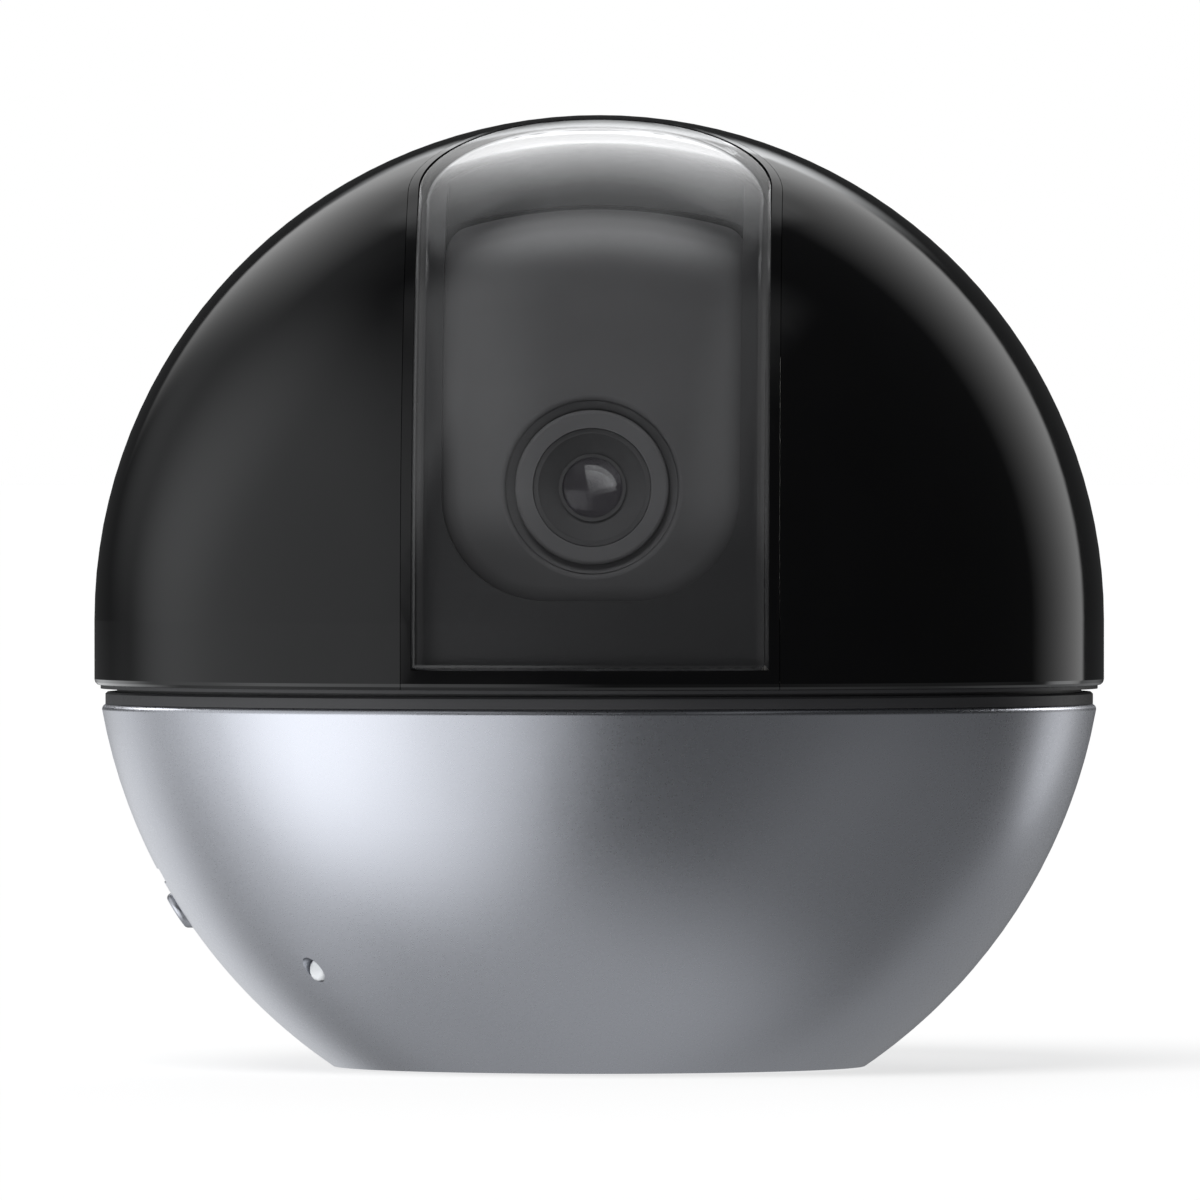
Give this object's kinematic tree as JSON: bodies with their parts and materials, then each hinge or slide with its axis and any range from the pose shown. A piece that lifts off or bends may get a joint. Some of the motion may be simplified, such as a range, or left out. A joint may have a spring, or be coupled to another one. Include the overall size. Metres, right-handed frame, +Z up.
{
  "type": "security camera",
  "caption": "Indoor pan and tilt security camera: a black dome head with a smoked window and a tilting lens drum, turning on a silver bowl base with a flat foot.",
  "frame": {"origin": "on the surface it stands on, under the pan axis", "axes": "+Z up along the pan axis, the lens looks along -Y, +X is to the viewer's right"},
  "size_m": [0.096, 0.096, 0.0905],
  "materials": {
    "silver_shell": "satin metallic silver paint over moulded plastic",
    "gloss_black": "polished piano black",
    "smoked_window": "smoked clear polycarbonate, polished",
    "shroud_plastic": "fine matt charcoal",
    "face_plastic": "satin dark grey, finely textured",
    "holder_plastic": "satin dark grey",
    "lens_black": "anodised black, satin",
    "lens_glass": "coated optical glass",
    "dark_plastic": "moulded black, slight sheen",
    "foot_rubber": "soft matt rubber",
    "brass_insert": "turned brass",
    "screw_steel": "zinc plated steel",
    "circuit_board": "green solder mask",
    "chip_plastic": "moulded epoxy",
    "tin_shield": "tinned sheet steel",
    "connector_plastic": "off-white nylon",
    "clear_pipe": "clear light pipe, frosted end",
    "gasket_foam": "closed cell foam",
    "cone_paper": "pressed paper",
    "magnet_steel": "nickel plated",
    "motor_steel": "drawn steel can",
    "gear_plastic": "natural acetal"
  },
  "bodies": {
    "base": {"bowl": "silver_shell", "base_plate": "dark_plastic", "foot_ring": "foot_rubber", "tripod_insert": "brass_insert", "base_screws": "screw_steel", "main_board": "circuit_board", "processor": "chip_plastic", "wifi_shield": "tin_shield", "board_connectors": "connector_plastic", "board_screws": "screw_steel", "power_socket": "tin_shield", "status_led": "connector_plastic", "light_pipe": "clear_pipe", "side_board": "circuit_board", "side_board_screws": "screw_steel", "card_socket": "tin_shield", "reset_switch": "chip_plastic", "speaker_gasket": "gasket_foam", "speaker_basket": "tin_shield", "speaker_cone": "cone_paper", "speaker_magnet": "magnet_steel", "deck": "dark_plastic", "thrust_washer": "gear_plastic", "pan_motor": "motor_steel", "pan_motor_screws": "screw_steel"},
    "reset_button": {"reset_button": "silver_shell"},
    "pan_pinion": {"pan_pinion": "gear_plastic"},
    "head": {"turntable": "dark_plastic", "pan_gear": "gear_plastic", "pan_retainer": "screw_steel", "dome": "gloss_black", "dome_screws": "screw_steel", "window_bezel": "gloss_black", "window": "smoked_window", "inner_shroud": "shroud_plastic", "yoke_left": "dark_plastic", "yoke_right": "dark_plastic", "yoke_screws": "screw_steel", "tilt_bushes": "gear_plastic", "tilt_motor": "motor_steel", "tilt_motor_screws": "screw_steel"},
    "tilt_pinion": {"tilt_pinion": "gear_plastic"},
    "drum": {"face_shell": "face_plastic", "drum_core": "shroud_plastic", "drum_back": "shroud_plastic", "tilt_gear": "gear_plastic", "trunnion_clip": "screw_steel", "lens_holder": "holder_plastic", "lens_barrel": "lens_black", "lens_front": "lens_glass", "lens_rear": "lens_glass", "image_sensor": "chip_plastic", "ir_filter": "lens_glass", "sensor_board": "circuit_board", "sensor_screws": "screw_steel"}
  },
  "joints": [
    {"name": "pan", "type": "hinge", "parent": "base", "child": "head", "pos_m": [0, 0, 0.035], "axis": [0, 0, 1], "range_deg": [-170, 170]},
    {"name": "tilt", "type": "hinge", "parent": "head", "child": "drum", "pos_m": [0, -0.01, 0.055], "axis": [-1, 0, 0], "range_deg": [-10, 75]},
    {"name": "pan_pinion_spin", "type": "hinge", "parent": "base", "child": "pan_pinion", "pos_m": [0.018, 0, 0.02], "axis": [0, 0, 1], "continuous": true},
    {"name": "tilt_pinion_spin", "type": "hinge", "parent": "head", "child": "tilt_pinion", "pos_m": [0, 0.00466, 0.04966], "axis": [-1, 0, 0], "continuous": true},
    {"name": "reset_press", "type": "slide", "parent": "base", "child": "reset_button", "axis": [1, 0, 0], "range_m": [0, 0.0005], "stiffness_N_per_m": 600}
  ],
  "couplings": [
    {"joint": "pan_pinion_spin", "follows": "pan", "ratio": -4},
    {"joint": "tilt_pinion_spin", "follows": "tilt", "ratio": -3.3333}
  ]
}
